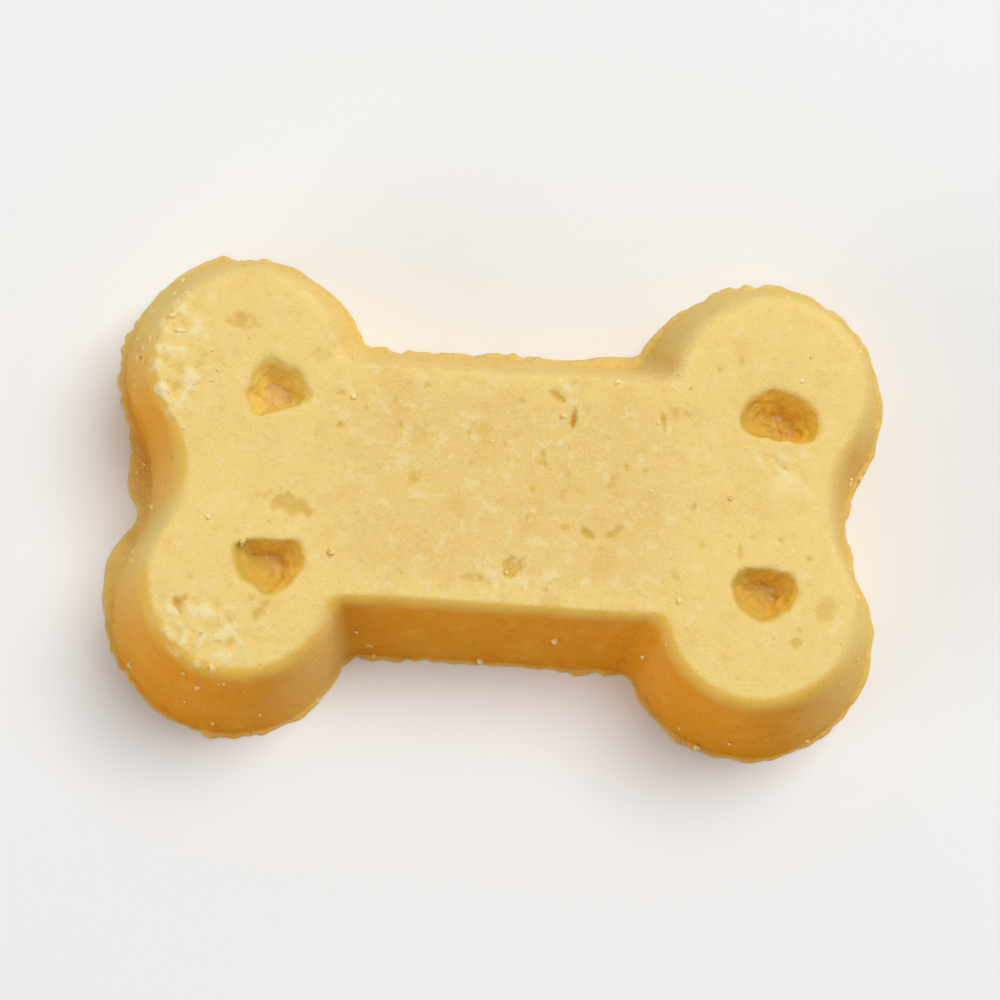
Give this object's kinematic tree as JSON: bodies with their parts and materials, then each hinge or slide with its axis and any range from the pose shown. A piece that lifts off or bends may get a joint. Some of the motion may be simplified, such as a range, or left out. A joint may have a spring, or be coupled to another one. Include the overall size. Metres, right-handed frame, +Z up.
{
  "type": "dog biscuit",
  "caption": "Small bone-shaped dog biscuit of moulded baked dough: round end lobes on a short flat shaft, with pin dents on top and a flat underside.",
  "frame": {"origin": "centre of the bounding box, on the flat underside", "axes": "+X along the bone, +Y across it, +Z up out of the moulded top face"},
  "size_m": [0.0384, 0.0244, 0.0074],
  "materials": {
    "baked_dough": "matte, baked pale yellow dough with amber walls"
  },
  "bodies": {
    "root": {"dog_biscuit": "baked_dough"}
  },
  "joints": []
}
